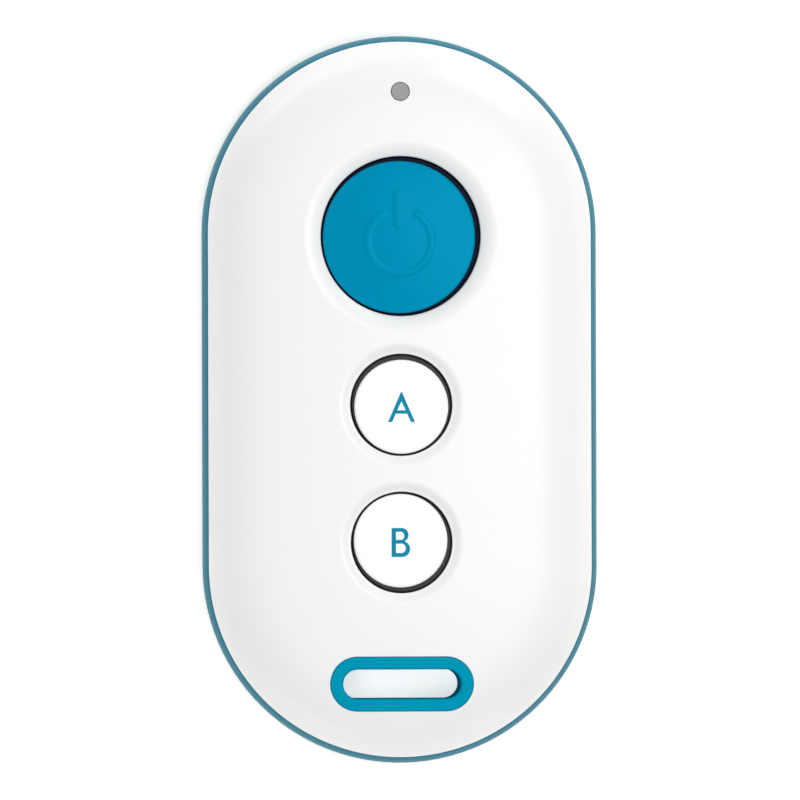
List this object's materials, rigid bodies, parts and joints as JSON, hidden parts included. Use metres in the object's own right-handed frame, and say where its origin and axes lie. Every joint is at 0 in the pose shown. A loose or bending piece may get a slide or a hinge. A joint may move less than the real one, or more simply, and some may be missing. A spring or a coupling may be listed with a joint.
{
  "type": "alarm remote control",
  "caption": "Stadium-shaped alarm remote control: white crowned front, blue shell, round keys in dished seats, indicator window and a key-ring slot through one end.",
  "frame": {"origin": "on the flat back face, under the middle of the case", "axes": "+Z out of the front face, +Y along the case towards the indicator window, +X to the right of someone who reads the keys"},
  "size_m": [0.038, 0.07, 0.012],
  "materials": {
    "cover_white": "gloss",
    "shell_blue": "gloss",
    "cap_blue": "satin",
    "cap_white": "satin",
    "silicone_dark": "matte",
    "switch_black": "matte",
    "frame_grey": "matte",
    "plunger_white": "satin",
    "spring_steel": "satin",
    "cell_nickel": "satin",
    "tin_plate": "satin",
    "can_nickel": "gloss",
    "board_green": "satin",
    "track_gold": "satin",
    "chip_black": "matte",
    "capacitor_tan": "satin",
    "resistor_black": "gloss",
    "led_body": "satin",
    "window_grey": "gloss",
    "screw_steel": "satin"
  },
  "bodies": {
    "case": {"a_key_web": "silicone_dark", "a_snap_dome": "spring_steel", "a_switch_housing": "switch_black", "b_key_web": "silicone_dark", "b_snap_dome": "spring_steel", "b_switch_housing": "switch_black", "case_screws": "screw_steel", "cell_clip": "spring_steel", "chip_capacitors": "capacitor_tan", "chip_leads": "tin_plate", "chip_resistors": "resistor_black", "circuit_board": "board_green", "coin_cell": "cell_nickel", "front_cover": "cover_white", "indicator_led": "led_body", "inner_frame": "frame_grey", "keypad_mat": "silicone_dark", "light_guide": "window_grey", "loop_antenna": "track_gold", "negative_contact": "spring_steel", "power_key_web": "silicone_dark", "power_snap_dome": "spring_steel", "power_switch_housing": "switch_black", "rear_shell": "shell_blue", "resonator_can": "can_nickel", "slot_collar": "shell_blue", "switch_legs": "tin_plate", "switch_top_plates": "spring_steel", "transmitter_chip": "chip_black"},
    "power_key": {"power_cap": "cap_blue", "power_key_base": "silicone_dark", "power_switch_plunger": "plunger_white"},
    "a_key": {"cap_a": "cap_white", "a_key_base": "silicone_dark", "a_switch_plunger": "plunger_white"},
    "b_key": {"cap_b": "cap_white", "b_key_base": "silicone_dark", "b_switch_plunger": "plunger_white"}
  },
  "joints": [
    {"name": "power_key_press", "type": "slide", "parent": "case", "child": "power_key", "axis": [0, 0, -1], "range_m": [0, 0.0003], "stiffness_N_per_m": 6000, "deforming": ["power_key_web", "power_snap_dome"]},
    {"name": "a_key_press", "type": "slide", "parent": "case", "child": "a_key", "axis": [0, 0, -1], "range_m": [0, 0.0003], "stiffness_N_per_m": 5000, "deforming": ["a_key_web", "a_snap_dome"]},
    {"name": "b_key_press", "type": "slide", "parent": "case", "child": "b_key", "axis": [0, 0, -1], "range_m": [0, 0.0003], "stiffness_N_per_m": 5000, "deforming": ["b_key_web", "b_snap_dome"]}
  ]
}
